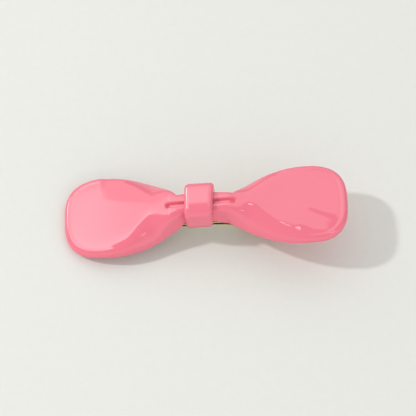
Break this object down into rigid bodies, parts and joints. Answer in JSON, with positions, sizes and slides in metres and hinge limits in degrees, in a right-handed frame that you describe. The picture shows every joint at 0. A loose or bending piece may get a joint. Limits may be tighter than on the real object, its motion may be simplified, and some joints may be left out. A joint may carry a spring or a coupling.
{
  "type": "alligator hair clip with bow",
  "caption": "Glossy moulded bow with a wrapped knot, glued on a sprung metal alligator clip whose toothed lower jaw hinges open at thumb levers.",
  "frame": {"origin": "on the gripping face of the clip's upper arm, straight under the middle of the knot", "axes": "+X along the bow from the jaws' tips towards the hinge and thumb levers, +Y across the bow, +Z out of the bow's face"},
  "size_m": [0.0855, 0.0272, 0.0205],
  "materials": {
    "pink_plastic": "high-gloss moulded pink",
    "gold_plate": "pale gold plating, polished",
    "spring_steel": "drawn wire",
    "glue": "clear set glue"
  },
  "bodies": {
    "bow": {"bow_body": "pink_plastic", "knot_band": "pink_plastic", "glue_pad": "glue", "upper_arm": "gold_plate", "hinge_pin": "gold_plate", "torsion_spring": "spring_steel"},
    "jaw": {"lower_arm": "gold_plate"}
  },
  "joints": [
    {"name": "jaw_hinge", "type": "hinge", "parent": "bow", "child": "jaw", "pos_m": [0.013, 0, -0.0034], "axis": [0, -1, 0], "range_deg": [0, 28], "stiffness_Nm_per_rad": 0.02, "springref_deg": -34.38, "deforming": ["torsion_spring"]}
  ]
}
